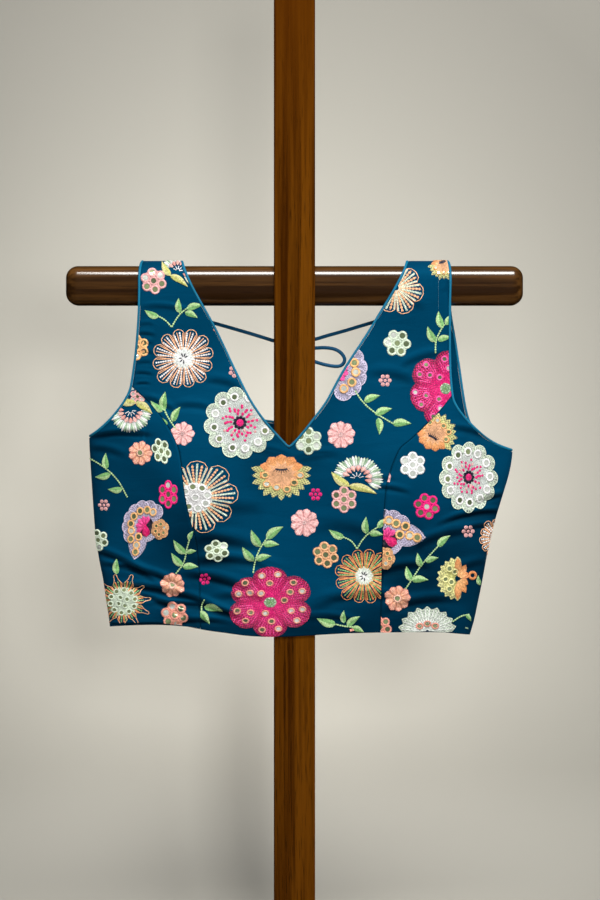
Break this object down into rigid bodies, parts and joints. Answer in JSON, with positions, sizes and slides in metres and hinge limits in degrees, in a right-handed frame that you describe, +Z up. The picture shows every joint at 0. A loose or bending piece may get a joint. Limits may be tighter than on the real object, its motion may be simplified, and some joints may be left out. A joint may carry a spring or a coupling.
{
  "type": "embroidered blouse on wooden display stand",
  "caption": "Sleeveless deep-V embroidered blouse with princess seams and cord ties at the back, hung by its straps over the crossbar of a wooden post stand.",
  "frame": {"origin": "on the floor, at the middle of the base's underside, under the post", "axes": "+Z up along the post, -Y towards the front of the blouse, +X to the right as seen from the front"},
  "size_m": [0.456, 0.28, 0.972],
  "materials": {
    "cloth": "deep blue woven cloth, matt with a soft sheen",
    "piping": "lighter blue satin binding",
    "wood": "dark brown, glossy varnish"
  },
  "bodies": {
    "root": {"front_centre": "cloth", "front_side_left": "cloth", "front_side_right": "cloth", "back_left": "cloth", "back_right": "cloth", "tie_left": "cloth", "tie_right": "cloth", "tie_loop": "cloth", "tie_knot": "cloth", "tie_end_left": "cloth", "tie_end_right": "cloth", "tie_end_knot_left": "cloth", "tie_end_knot_right": "cloth", "neck_piping": "piping", "armhole_piping_left": "piping", "armhole_piping_right": "piping", "stand_post": "wood", "stand_bar": "wood", "stand_base": "wood"}
  },
  "joints": []
}
